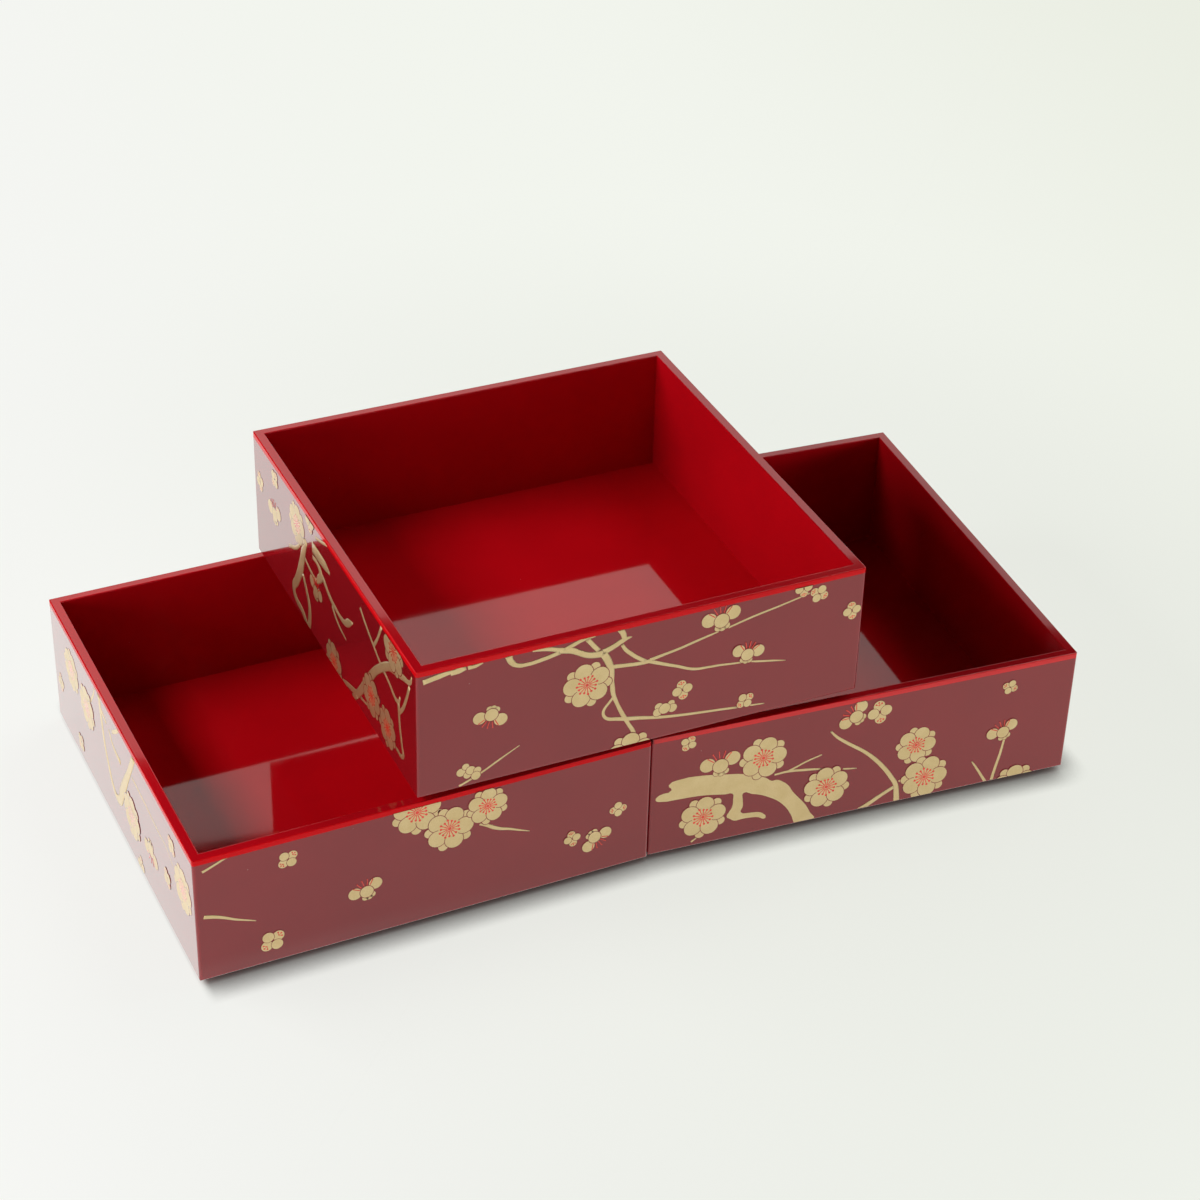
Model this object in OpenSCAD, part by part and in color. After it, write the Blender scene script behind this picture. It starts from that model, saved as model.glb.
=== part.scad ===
// Three tiers of a square lacquered box set, standing open and without a lid.
// Two tiers stand side by side on the table, the right one slightly turned,
// and the third rests across their rims, as when the set is laid out.
// Every tier is four mitred side boards with a loose spline in each mitre, a
// floor panel let into a rebate, and four foot rails that nest in the rim below.
// All sizes are millimetres. The origin is the middle of the footprint, on the
// table, with +X along the row of tiers, +Y to the back and +Z up.

/* [Tier] */
// Outer width and depth of a square tier
side = 195; // [150:0.5:240]
// Height of the side boards, from their lower edge to the rim
board_h = 60; // [45:0.5:90]
// Thickness of the side boards
wall = 4.2; // [3.6:0.1:7]
// Radius of the upright outer corners
corner_r = 1.2; // [0.5:0.1:2]
// Radius of the softened edges along the rim and under the boards
edge_r = 0.5; // [0.3:0.1:0.9]

/* [Floor] */
// Thickness of the floor panel
floor_t = 3.4; // [2.4:0.1:6]
// Depth of the rebate in the boards that takes the floor panel
rebate = 2; // [1.2:0.1:2.4]
// Gap between the panel's edge and the rebate
floor_play = 0.1; // [0.05:0.05:0.3]

/* [Foot] */
// Height of the foot rails
foot_h = 3; // [2:0.1:6]
// Width of the foot rails
rail_w = 9; // [6:0.5:16]
// Gap between the foot and the walls that it nests between
nest_play = 0.4; // [0.2:0.05:1]

/* [Corner splines] */
// Thickness of the spline in each mitre
spline_t = 1; // [0.6:0.1:1.2]
// Width of the spline, across the mitre
spline_w = 2.6; // [1.6:0.1:2.8]
// Unslotted wood that hides each end of the spline
spline_cover = 8; // [3:0.5:15]
// Gap at the sides and the top of the spline
spline_play = 0.1; // [0.05:0.05:0.2]

/* [Setting out] */
// Gap between the two lower tiers at their front corners
tier_gap = 0.5; // [0.3:0.1:4]
// Turn of the right tier, clockwise seen from above, in degrees
right_turn = 4.7; // [0:0.1:8]
// How far the right tier's centre stands in front of the left tier's
right_forward = 7.5; // [0:0.1:15]
// Turn of the upper tier, clockwise seen from above, in degrees
upper_turn = 0.9; // [0:0.1:3]
// How far the upper tier's centre stands left of the left tier's right face
upper_left = 3.8; // [0:0.1:12]
// How far the upper tier's centre stands in front of the left tier's
upper_forward = 2.4; // [1.6:0.1:6]

/* [Hidden] */
// Facets of a round that is drawn; every round is a true arc
$fn = 48;
// Overlap that keeps a cut from ending flush with a face
eps = 0.01;

// Outsides in the photographed colours, burgundy boards over a near-black foot
board_colour = [0.52, 0.17, 0.18];
// Bright red lacquer of the inside
floor_colour = [0.72, 0.02, 0.04];
// Dark lacquer of the recessed foot
foot_colour = [0.16, 0.03, 0.04];
// Bare cypress of the hidden splines
spline_colour = [0.80, 0.66, 0.46];

half = side / 2;
tier_h = foot_h + board_h;
foot_half = half - wall - nest_play;
panel_half = half - wall + rebate - floor_play;
slot_z = floor_t + spline_cover;
slot_h = board_h - slot_z - spline_cover;

// Half the width that a tier takes up when it is turned by an angle
function reach(turn) = (half - corner_r) * (cos(turn) + sin(turn)) + corner_r;

// Centres of the tiers, from the left tier's own centre
right_x = half + tier_gap + reach(right_turn);
right_y = -right_forward;
upper_x = half - upper_left;
upper_y = -upper_forward;

// Ends of the whole footprint, whose middle is the origin
x_low = min(-half, upper_x - reach(upper_turn));
x_high = max(right_x + reach(right_turn), upper_x + reach(upper_turn));
y_low = min(-half, right_y - reach(right_turn), upper_y - reach(upper_turn));
y_high = max(half, right_y + reach(right_turn), upper_y + reach(upper_turn));
origin = [(x_low + x_high) / 2, (y_low + y_high) / 2];

// Place of each tier as [x, y, z, turn], in the order of TIERS
TIERS = ["left_tier", "right_tier", "upper_tier"];
PLACES = [
    [-origin.x, -origin.y, 0, 0],
    [right_x - origin.x, right_y - origin.y, 0, -right_turn],
    [upper_x - origin.x, upper_y - origin.y, tier_h, -upper_turn],
];

// The four sides and the four corners, each a quarter turn after the last
SIDES = ["front", "right", "back", "left"];
CORNERS = ["front_left", "front_right", "back_right", "back_left"];

// Square with rounded corners, about the centre
module rounded_square(size_half, radius) {
    square([2 * size_half, 2 * (size_half - radius)], center = true);
    square([2 * (size_half - radius), 2 * size_half], center = true);
    for (x = [-1, 1], y = [-1, 1])
        translate([x, y] * (size_half - radius)) circle(radius);
}

// Front quarter of a square ring, which a mitre closes at both ends
module mitred_quarter(size_half, width) {
    inner = size_half - width;
    intersection() {
        rounded_square(size_half, corner_r);
        polygon([[-size_half, -size_half], [size_half, -size_half], [inner, -inner], [-inner, -inner]]);
    }
}

// Section of a side board, with its outer face at x = 0 and its lower edge at y = 0
module board_section() {
    difference() {
        union() {
            translate([edge_r, 0]) square([wall - 2 * edge_r, board_h]);
            translate([0, edge_r]) square([wall, board_h - 2 * edge_r]);
            translate([wall - edge_r, 0]) square([edge_r, board_h - edge_r]);
            for (p = [[edge_r, edge_r], [edge_r, board_h - edge_r], [wall - edge_r, board_h - edge_r]])
                translate(p) circle(edge_r);
        }
        translate([wall - rebate, -eps]) square([rebate + eps, floor_t + eps]);
    }
}

// Section of a foot rail, with its outer face at x = 0 and its lower edge at y = 0
module rail_section() {
    translate([edge_r, 0]) square([rail_w - 2 * edge_r, foot_h]);
    translate([0, edge_r]) square([rail_w, foot_h - edge_r]);
    for (x = [edge_r, rail_w - edge_r])
        translate([x, edge_r]) circle(edge_r);
}

// Straight stock of a section along the front side, cut to its mitred quarter
module mitred_stock(size_half, width, height) {
    intersection() {
        translate([-size_half, -size_half, 0])
            rotate([90, 0, 90])
            linear_extrude(2 * size_half)
            children();
        linear_extrude(height) mitred_quarter(size_half, width);
    }
}

// Strip across the mitre of the front left corner, square to the mitre's plane
module mitre_strip(width, height) {
    translate([wall / 2 - half, wall / 2 - half, foot_h + slot_z])
        rotate([0, 0, -45])
        translate([-width / 2, -spline_t / 2, 0])
        cube([width, spline_t, height]);
}

// Side board, with the slots for the splines in both its mitres
module side_board(quarter) {
    color(board_colour)
    rotate([0, 0, 90 * quarter])
    difference() {
        translate([0, 0, foot_h]) mitred_stock(half, wall, board_h) board_section();
        for (end = [0, 90])
            rotate([0, 0, end]) mitre_strip(spline_w + 2 * spline_play, slot_h);
    }
}

// Loose spline glued across the mitre of one corner
module corner_spline(quarter) {
    color(spline_colour)
    rotate([0, 0, 90 * quarter])
    mitre_strip(spline_w, slot_h - spline_play);
}

// Floor panel, seated in the rebate of all four boards
module floor_panel() {
    color(floor_colour)
    translate([-panel_half, -panel_half, foot_h])
    cube([2 * panel_half, 2 * panel_half, floor_t]);
}

// Foot rail, glued under the floor panel and set in from the boards
module foot_rail(quarter) {
    color(foot_colour)
    rotate([0, 0, 90 * quarter])
    mitred_stock(foot_half, rail_w, foot_h) rail_section();
}

// Puts a tier's piece where that tier stands
module place(tier) {
    at = PLACES[tier];
    translate([at[0], at[1], at[2]]) rotate([0, 0, at[3]]) children();
}

for (t = [0 : len(TIERS) - 1]) {
    for (q = [0 : 3]) {
        place(t) side_board(q);
        place(t) corner_spline(q);
        place(t) foot_rail(q);
    }
    place(t) floor_panel();
}
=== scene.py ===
# %% [markdown]
# # Three tiers of a lacquered food box
# The object is a set of square lacquered tiers, standing open: two side by side on a pale
# table and the third across their rims. The wooden parts come from the CAD model, which is
# loaded as a fixed frame, and everything here is added round it: the camera, the light, the
# lacquer, and the plum branches that are painted in gold on the outside.

# %% Load the frame
import math

import bmesh
import bpy
from mathutils import Matrix, Vector


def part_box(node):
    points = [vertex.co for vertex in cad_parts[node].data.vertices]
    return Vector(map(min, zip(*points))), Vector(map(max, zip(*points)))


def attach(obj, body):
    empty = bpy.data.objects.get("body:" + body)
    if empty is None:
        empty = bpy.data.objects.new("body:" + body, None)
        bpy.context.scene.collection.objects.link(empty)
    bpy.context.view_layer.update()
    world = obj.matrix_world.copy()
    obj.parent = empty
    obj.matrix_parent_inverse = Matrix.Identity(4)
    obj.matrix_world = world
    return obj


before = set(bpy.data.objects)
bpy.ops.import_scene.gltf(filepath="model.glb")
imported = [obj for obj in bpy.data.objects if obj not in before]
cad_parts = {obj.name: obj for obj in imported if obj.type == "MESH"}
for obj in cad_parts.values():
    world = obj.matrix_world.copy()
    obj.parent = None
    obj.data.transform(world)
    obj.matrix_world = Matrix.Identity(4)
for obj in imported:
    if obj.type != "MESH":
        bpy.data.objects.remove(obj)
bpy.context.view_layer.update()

# %% [markdown]
# ## Where each tier stands
# Every later step works on one tier at a time, in that tier's own directions, so it needs
# the tier's middle and its turn. The middle could be typed in again, but it is safer to read
# it off the frame: a square has its middle in the middle of its box, however it is turned.
# Only the two small turns are written here, because a box doesn't show them.

# %% Middles and turns
MM = 0.001
SIDES = ("front", "right", "back", "left")
TURNS = {"left_tier": 0.0, "right_tier": -4.7, "upper_tier": -0.9}
SIDE_W = 195.0


def tier_box(tier):
    """Lowest and highest corner of a tier's four side boards."""
    corners = [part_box(f"{tier}_{side}_board") for side in SIDES]
    low = Vector([min(c[0][axis] for c in corners) for axis in range(3)])
    high = Vector([max(c[1][axis] for c in corners) for axis in range(3)])
    return low, high


def tier_place(tier):
    """Middle of a tier, at the height of its boards' lower edge."""
    low, high = tier_box(tier)
    middle = (low + high) / 2
    return Vector((middle.x, middle.y, low.z))


BOARD_H = (tier_box("left_tier")[1].z - tier_box("left_tier")[0].z) / MM
for tier in TURNS:
    print(tier, "stands at", [round(x / MM, 2) for x in tier_place(tier)], "turned", TURNS[tier])

# %% [markdown]
# ## The camera
# The picture is taken from the front left, from about a metre and a quarter away and looking
# down by about 34 degrees, with a plain 85 mm lens. The camera's place was found by
# laying the straight edges of the tiers over the picture, which gives a point and three
# angles. The angles turn the camera in the order in which a tripod head works: pan, tilt,
# then a slight roll.

# %% Camera
CAMERA_AT = Vector((-0.43371, -0.90842, 0.74971))
PAN = math.radians(26.07)
TILT = math.radians(33.85)
ROLL = math.radians(1.70)

lens = bpy.data.cameras.new("camera")
lens.lens = 85.0
lens.sensor_width = 36.0
lens.sensor_fit = "HORIZONTAL"
lens.clip_start = 0.01
camera = bpy.data.objects.new("camera", lens)
bpy.context.scene.collection.objects.link(camera)
look = Matrix.Rotation(-PAN, 4, "Z") @ Matrix.Rotation(math.pi / 2 - TILT, 4, "X")
camera.matrix_world = Matrix.Translation(CAMERA_AT) @ look @ Matrix.Rotation(ROLL, 4, "Z")
bpy.context.scene.camera = camera
bpy.context.scene.view_settings.view_transform = "Standard"
print("camera", tuple(round(x, 3) for x in camera.location))

# %% [markdown]
# ## Small helpers for shader nodes
# Node trees are easier to read when a node, its settings and its values are written in one
# place. The first helper makes a node, the second makes a sum or a comparison out of sockets
# and plain numbers alike. The others make the ramps, noises and blends that come up again and
# again, and an empty material.


# %% Node helpers
def add_node(tree, kind, values=None, **settings):
    """A new node with its settings and the values of its inputs, by name or by number."""
    made = tree.nodes.new(kind)
    for name, value in settings.items():
        setattr(made, name, value)
    for name, value in (values or {}).items():
        if isinstance(value, bpy.types.NodeSocket):
            tree.links.new(value, made.inputs[name])
        else:
            made.inputs[name].default_value = value
    return made


def calculate(tree, operation, *terms):
    """A Math node over sockets or plain numbers. Gives its output socket."""
    made = add_node(tree, "ShaderNodeMath", dict(enumerate(terms)), operation=operation)
    return made.outputs[0]


def step_up(tree, value, start, end):
    """0 below start, 1 above end, and a soft ramp in between."""
    made = add_node(
        tree,
        "ShaderNodeMapRange",
        {"Value": value, "From Min": start, "From Max": end},
        interpolation_type="SMOOTHSTEP",
    )
    return made.outputs["Result"]


def noise(tree, vector, scale, detail):
    """Soft random values between 0 and 1, which change with the place."""
    values = {"Vector": vector, "Scale": scale, "Detail": detail}
    return add_node(tree, "ShaderNodeTexNoise", values).outputs["Fac"]


def blend_colours(tree, share, first, second):
    """Colour between two others. Each is a socket or four numbers."""
    made = add_node(tree, "ShaderNodeMix", data_type="RGBA")
    for name, value in (("Factor_Float", share), ("A_Color", first), ("B_Color", second)):
        socket = next(s for s in made.inputs if s.identifier == name)
        if isinstance(value, bpy.types.NodeSocket):
            tree.links.new(value, socket)
        else:
            socket.default_value = value
    return next(s for s in made.outputs if s.identifier == "Result_Color")


def new_material(name):
    """An empty material with its output node, and the tree to fill."""
    made = bpy.data.materials.new(name)
    made.use_nodes = True
    made.node_tree.nodes.clear()
    output = made.node_tree.nodes.new("ShaderNodeOutputMaterial")
    return made, made.node_tree, output


print("node helpers ready")

# %% [markdown]
# ## The table
# The tiers stand on a pale, faintly green-white table that runs out of the picture on all
# sides. Lacquer is a mirror, and what the outside mirrors is this table, so it is a real
# surface and not just a background: one large flat square.

# %% Table top
TABLE_W = 30.0

bm = bmesh.new()
bmesh.ops.create_grid(bm, x_segments=1, y_segments=1, size=TABLE_W / 2)
table_mesh = bpy.data.meshes.new("table_top")
bm.to_mesh(table_mesh)
bm.free()
table_top = bpy.data.objects.new("table_top", table_mesh)
bpy.context.scene.collection.objects.link(table_top)
print("table", TABLE_W, "m wide")

# %% [markdown]
# ## The colour of the table
# The table's colour is painted paler on the left, where the lamps stand, a painted falloff
# of their light, and a little greener on the right. The change runs slightly aslant, as the
# camera looks. Farther off, the colour fades a little.

# %% Colour of the table
PALE_LEFT = (1.00, 1.00, 0.985, 1.0)
PALE_MIDDLE = (0.965, 0.990, 0.925, 1.0)
PALE_RIGHT = (0.890, 0.920, 0.820, 1.0)
SLANT = -0.15
TO_MIDDLE = (-0.40, 0.15)
TO_RIGHT = (0.15, 0.80)
FAR_RANGE = (0.28, 0.55)
FAR_PALENESS = 0.92

material, tree, output = new_material("pale_table")
coords = add_node(tree, "ShaderNodeTexCoord").outputs["Object"]
place = add_node(tree, "ShaderNodeSeparateXYZ", {"Vector": coords}).outputs
aslant = calculate(tree, "MULTIPLY_ADD", place["Y"], SLANT, place["X"])
# painted light: the table's colour is paler towards the lamps on the left
left_part = blend_colours(tree, step_up(tree, aslant, *TO_MIDDLE), PALE_LEFT, PALE_MIDDLE)
pale = blend_colours(tree, step_up(tree, aslant, *TO_RIGHT), left_part, PALE_RIGHT)
far = add_node(tree, "ShaderNodeVectorMath", {0: coords}, operation="LENGTH").outputs["Value"]
far_off = step_up(tree, far, *FAR_RANGE)
strength = calculate(tree, "MULTIPLY_ADD", far_off, FAR_PALENESS - 1.0, 1.0)
print("the table fades between", FAR_RANGE, "m from the middle")

# %% [markdown]
# ## Painted shade and reflection on the table
# Two things change the strength of that colour. In the narrow gap under the boards the camera
# sees painted shade, which ambient occlusion finds, but not along the tiers' left side, where
# the picture shows no such line. And in mirrors the table left of the tiers is painted brighter,
# a painted reflection, so that the boards' left sides mirror it brighter than it looks from above.

# %% Painted shade and reflection
GAP_REACH = 0.013
GAP_DARKNESS = 2.2
SHADE_ACROSS = (-0.2035, -0.1985)
REFLECTION_ACROSS = (-0.20, 0.0)
REFLECTION_ALONG = (-0.105, -0.095)
PAINTED_REFLECTION_GAIN = 0.32

ray = add_node(tree, "ShaderNodeLightPath").outputs
# painted shade: darkening in the gap under the boards, seen by camera rays only
gap = add_node(tree, "ShaderNodeAmbientOcclusion", {"Distance": GAP_REACH}, samples=8)
painted_shade = calculate(tree, "SUBTRACT", 1.0, calculate(tree, "POWER", gap.outputs["AO"], GAP_DARKNESS))
painted_shade = calculate(tree, "MULTIPLY", painted_shade, step_up(tree, place["X"], *SHADE_ACROSS))
painted_shade = calculate(tree, "MULTIPLY", painted_shade, ray["Is Camera Ray"])
strength = calculate(tree, "MULTIPLY", strength, calculate(tree, "SUBTRACT", 1.0, painted_shade))

# painted reflection: the table left of the tiers is brighter only in mirrors
left = calculate(tree, "SUBTRACT", 1.0, step_up(tree, place["X"], *REFLECTION_ACROSS))
painted_reflection = calculate(tree, "MULTIPLY", left, step_up(tree, place["Y"], *REFLECTION_ALONG))
painted_reflection = calculate(tree, "MULTIPLY", painted_reflection, ray["Is Glossy Ray"])
painted_reflection = calculate(tree, "MULTIPLY_ADD", painted_reflection, PAINTED_REFLECTION_GAIN, 1.0)
strength = calculate(tree, "MULTIPLY", strength, painted_reflection)
print("the table darkens within", GAP_REACH / MM, "mm of the boards")

# %% [markdown]
# ## The table for the lamps and for the camera
# To the lamps the table is plain white paint, and it takes their shadows. To the camera, and
# in mirrors, most of its paleness comes from its own colour instead, and away from the tiers
# all of it, so that the background stays even. The Light Path node tells the rays apart.

# %% Table material
TABLE_PAINT = (0.86, 0.885, 0.825, 1.0)
TABLE_CLOUDS = (0.84, 0.87, 0.81, 1.0)
LIT_SHARE = 0.23

paint = blend_colours(tree, noise(tree, coords, 2.0, 2.0), TABLE_PAINT, TABLE_CLOUDS)
lit = add_node(tree, "ShaderNodeBsdfDiffuse", {"Color": paint})
own = add_node(tree, "ShaderNodeEmission", {"Color": pale, "Strength": strength})
share = calculate(tree, "MULTIPLY_ADD", far_off, -LIT_SHARE, LIT_SHARE)
seen = add_node(tree, "ShaderNodeMixShader", {0: share, 1: own.outputs[0], 2: lit.outputs[0]})
looking = calculate(tree, "MAXIMUM", ray["Is Camera Ray"], ray["Is Glossy Ray"])
looking = calculate(tree, "MAXIMUM", looking, ray["Is Transmission Ray"])
surface = add_node(
    tree, "ShaderNodeMixShader", {0: looking, 1: lit.outputs[0], 2: seen.outputs[0]}
)
tree.links.new(surface.outputs[0], output.inputs["Surface"])
table_mesh.materials.append(material)
print("share of lit paint that the camera sees near the tiers:", LIT_SHARE)

# %% [markdown]
# ## The light
# The inner right walls are bright and the inner back walls dark, and the upper tier throws
# the right tier's inside into deep shade. So a soft lamp stands close by on the left, about
# half a metre up, with a weaker one under it and another low in front. The left part of each
# floor lies in the shade of the left wall, and the right part in a weaker shade of the right
# wall: a broad soft light comes from high on the right. The fronts glow, but the inner back
# walls behind them don't, so a long low lamp lies in front, lower than the rims, and a short
# one on its right.
#
# A white card stands behind the tiers. The rims and the fronts of the floors mirror it, and
# above its upper edge, which rises a little to the right, they mirror darkness. The brightest
# lamps are kept out of mirrors, where they would burn out to white.


# %% Lamps
def add_lamp(name, at, aim, size, brightness, lean=0.0):
    """Soft lamp that faces along aim. A brightness of 1 is a white card in full light."""
    data = bpy.data.lights.new(name, "AREA")
    data.shape = "RECTANGLE"
    data.size = size[0]
    data.size_y = size[1]
    data.energy = brightness * math.pi * size[0] * size[1]
    made = bpy.data.objects.new(name, data)
    bpy.context.scene.collection.objects.link(made)
    turn = (-Vector(aim)).to_track_quat("Z", "Y")
    turned = turn.to_matrix().to_4x4() @ Matrix.Rotation(math.radians(lean), 4, "Z")
    made.matrix_world = Matrix.Translation(at) @ turned
    made.visible_camera = False
    return made


LAMP = (0.50, 0.20)
left_lamp = add_lamp("left_lamp", (-0.50, 0.22, 0.47), (1, 0, 0), LAMP, 9.6)
add_lamp("side_lamp", (-0.50, 0.25, 0.30), (1, 0, 0), LAMP, 1.3)
add_lamp("low_lamp", (-0.50, -0.25, 0.12), (1, 0, 0), LAMP, 2.5)
right_lamp = add_lamp("right_lamp", (0.52, -0.55, 0.09), (-0.5, 1, 0), (0.50, 0.10), 7.5)
front_lamp = add_lamp("front_lamp", (0.05, -0.75, 0.045), (0, 1, 0), (0.90, 0.06), 8.5)
for bright_lamp in (left_lamp, right_lamp, front_lamp):
    bright_lamp.visible_glossy = False
card = add_lamp("back_card", (0.83, 1.20, 0.73), (0, -1, 0), (1.65, 0.72), 0.80, lean=-7.0)
card.data.color = (1.0, 0.95, 0.91)

# %% [markdown]
# ## The surroundings
# The rest of the room is a dark world with a few bright patches, which light the tiers from
# farther off. Each patch has its compass angle from the back (+Y) towards the right (+X), its
# height above the table, the softness of its edges, all in degrees, and its brightness.
# Camera rays see an even pale background instead.


# %% Surroundings
def between(tree, value, start, end, soft):
    """1 between two limits and 0 outside them, with soft edges."""
    rise = step_up(tree, value, start - soft, start + soft)
    fall = step_up(tree, value, end - soft, end + soft)
    return calculate(tree, "SUBTRACT", rise, fall)


ROOM_WHITE = (0.985, 1.0, 0.965, 1.0)
DARKNESS = 0.006
HORIZON = 0.88
PATCHES = [
    ("right of the card", (48, 90), (18, 39.5), 0.5, 0.95),
    ("above, right", (45, 105), (41.5, 66), 0.5, 2.10),
    ("right", (95, 150), (20, 40), 4.0, 0.10),
    ("low, in front", (118, 176), (2, 12), 3.0, 1.10),
]
world = bpy.data.worlds.new("studio")
bpy.context.scene.world = world
world.use_nodes = True
tree = world.node_tree
tree.nodes.clear()
coords = add_node(tree, "ShaderNodeTexCoord").outputs["Generated"]
way = add_node(tree, "ShaderNodeSeparateXYZ", {"Vector": coords}).outputs
compass = calculate(tree, "DEGREES", calculate(tree, "ARCTAN2", way["X"], way["Y"]))
height = calculate(tree, "DEGREES", calculate(tree, "ARCSINE", way["Z"]))
total = DARKNESS
for name, (start, end), (low, high), soft, brightness in PATCHES:
    wide = between(tree, compass, start, end, soft)
    tall = between(tree, height, low, high, soft)
    patch = calculate(tree, "MULTIPLY", wide, tall)
    total = calculate(tree, "MULTIPLY_ADD", patch, brightness, total)
    print("patch:", name, brightness)
ray = add_node(tree, "ShaderNodeLightPath").outputs
share = calculate(tree, "SUBTRACT", 1.0, ray["Is Camera Ray"])
total = calculate(tree, "MULTIPLY", total, share)
level = calculate(tree, "MULTIPLY_ADD", ray["Is Camera Ray"], HORIZON, total)
background = add_node(tree, "ShaderNodeBackground", {"Color": ROOM_WHITE, "Strength": level})
add_node(tree, "ShaderNodeOutputWorld", {"Surface": background.outputs[0]})

# %% [markdown]
# ## What all the lacquer shares
# Lacquer is brushed or sprayed on in many coats and polished. Close to, it isn't one flat
# colour: the coats lie a little thicker here and thinner there, the gloss has a faint
# orange-peel ripple, a cloth leaves fine wiping marks, and a few specks of dust were caught
# in the last coat. One node group holds these effects, and each material gives it its own
# colour and roughness. The scales below count per metre.

# %% Lacquer group
COAT_SCALE = 22.0
WIPING_SCALE = (30.0, 30.0, 420.0)
WIPING_DULLS = 0.05
RIPPLE_SCALE = 420.0
DUST_SCALE = 95.0
DUST_RADIUS = 0.016
DUST_FROM = 0.72
DUST_SHOWS = 0.35
DUST_DULLS = 0.3
DUST_HEIGHT = 2.0
DUST_COLOUR = (0.75, 0.55, 0.5, 1.0)


def group_sockets(group, inputs, outputs):
    """Named inputs and outputs of a node group, with their kinds and the inputs' values."""
    for name, kind, value in inputs:
        socket = group.interface.new_socket(name=name, in_out="INPUT", socket_type=kind)
        if value is not None:
            socket.default_value = value
    for name, kind in outputs:
        group.interface.new_socket(name=name, in_out="OUTPUT", socket_type=kind)


def make_lacquer_group():
    """Node group with the depth, ripple, wiping marks and dust of polished lacquer."""
    group = bpy.data.node_groups.new("lacquer_coats", "ShaderNodeTree")
    group_sockets(
        group,
        [
            ("Vector", "NodeSocketVector", None),
            ("Color", "NodeSocketColor", (0.5, 0.0, 0.0, 1.0)),
            ("Unevenness", "NodeSocketFloat", 0.10),
            ("Roughness", "NodeSocketFloat", 0.08),
        ],
        [
            ("Color", "NodeSocketColor"),
            ("Roughness", "NodeSocketFloat"),
            ("Height", "NodeSocketFloat"),
        ],
    )
    start = group.nodes.new("NodeGroupInput").outputs
    coat = noise(group, start["Vector"], COAT_SCALE, 4.0)
    thin = calculate(group, "SUBTRACT", step_up(group, coat, 0.25, 0.75), 0.5)
    gain = calculate(group, "MULTIPLY_ADD", thin, start["Unevenness"], 1.0)
    toned = add_node(
        group, "ShaderNodeVectorMath", {0: start["Color"], "Scale": gain}, operation="SCALE"
    ).outputs["Vector"]
    values = {"Vector": start["Vector"], "Scale": DUST_SCALE, "Randomness": 1.0}
    cells = add_node(group, "ShaderNodeTexVoronoi", values).outputs
    near = calculate(group, "LESS_THAN", cells["Distance"], DUST_RADIUS)
    chosen = add_node(group, "ShaderNodeSeparateXYZ", {"Vector": cells["Color"]}).outputs["X"]
    dust = calculate(group, "MULTIPLY", near, calculate(group, "GREATER_THAN", chosen, DUST_FROM))
    shows = calculate(group, "MULTIPLY", dust, DUST_SHOWS)
    tint = blend_colours(group, shows, toned, DUST_COLOUR)
    values = {"Vector": start["Vector"], "Scale": WIPING_SCALE}
    stretched = add_node(group, "ShaderNodeMapping", values).outputs["Vector"]
    wiping = noise(group, stretched, 1.0, 3.0)
    marks = calculate(group, "MULTIPLY", step_up(group, wiping, 0.55, 0.8), WIPING_DULLS)
    rough = calculate(group, "ADD", start["Roughness"], marks)
    rough = calculate(group, "MULTIPLY_ADD", dust, DUST_DULLS, rough)
    ripple = noise(group, start["Vector"], RIPPLE_SCALE, 1.0)
    height = calculate(group, "MULTIPLY_ADD", dust, DUST_HEIGHT, ripple)
    add_node(group, "NodeGroupOutput", {"Color": tint, "Roughness": rough, "Height": height})
    return group


LACQUER = make_lacquer_group()
print("node group", LACQUER.name)

# %% [markdown]
# ## One lacquer shader for every colour
# A Principled shader can mirror in two layers, its coloured body and a clear coat over it.
# The ripple softens the mirror image of the body, and the coat stays sharp. Each mirrors a
# little less than glass, and together they give the strong shine of lacquer. A gloss value
# takes both down where a part mirrors less.

# %% Lacquer surface
LACQUER_IOR = 1.39
COAT_ROUGHNESS = 0.03
RIPPLE_DEPTH = 0.000003


def add_lacquer(tree, output, vector, colour, roughness, unevenness=0.10, gloss=None):
    """The shared lacquer shader: a glossy body under a clear top coat."""
    values = {"Vector": vector, "Color": colour, "Roughness": roughness, "Unevenness": unevenness}
    coats = add_node(tree, "ShaderNodeGroup", values, node_tree=LACQUER)
    bump = add_node(
        tree, "ShaderNodeBump", {"Height": coats.outputs["Height"], "Distance": RIPPLE_DEPTH}
    )
    body_gloss = 0.5 if gloss is None else calculate(tree, "MULTIPLY", gloss, 0.5)
    shader = add_node(
        tree,
        "ShaderNodeBsdfPrincipled",
        {
            "Base Color": coats.outputs["Color"],
            "Roughness": coats.outputs["Roughness"],
            "Normal": bump.outputs["Normal"],
            "IOR": LACQUER_IOR,
            "Specular IOR Level": body_gloss,
            "Coat Weight": 1.0 if gloss is None else gloss,
            "Coat IOR": LACQUER_IOR,
            "Coat Roughness": COAT_ROUGHNESS,
        },
    )
    tree.links.new(shader.outputs[0], output.inputs["Surface"])


print("lacquer IOR", LACQUER_IOR, "in two layers")

# %% [markdown]
# ## Where a board changes colour
# Each side board is burgundy outside and bright red inside. The red comes up over the rim
# and ends about two and a half millimetres down the outside, in a line that was masked by
# hand. The board is one piece of wood, so it stays one mesh, and the colour is chosen by
# place: a Mapping node turns the coordinates to the tier's own directions, and then a
# distance from the middle tells outside from inside and a height tells the rim. The group
# also finds the upright corners and the lower edge, which get a painted highlight.

# %% Zones of a board
RIM_BAND = 2.4
FACE_DEPTH = 0.35
LINE_SHAKE = 0.25
SHAKE_SCALE = 160.0
# strips along the upright corners and the lower edge that get a painted highlight, in mm
HIGHLIGHT_IN = (1.6, 0.6)
HIGHLIGHT_UP = (0.4, 1.4)


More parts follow.
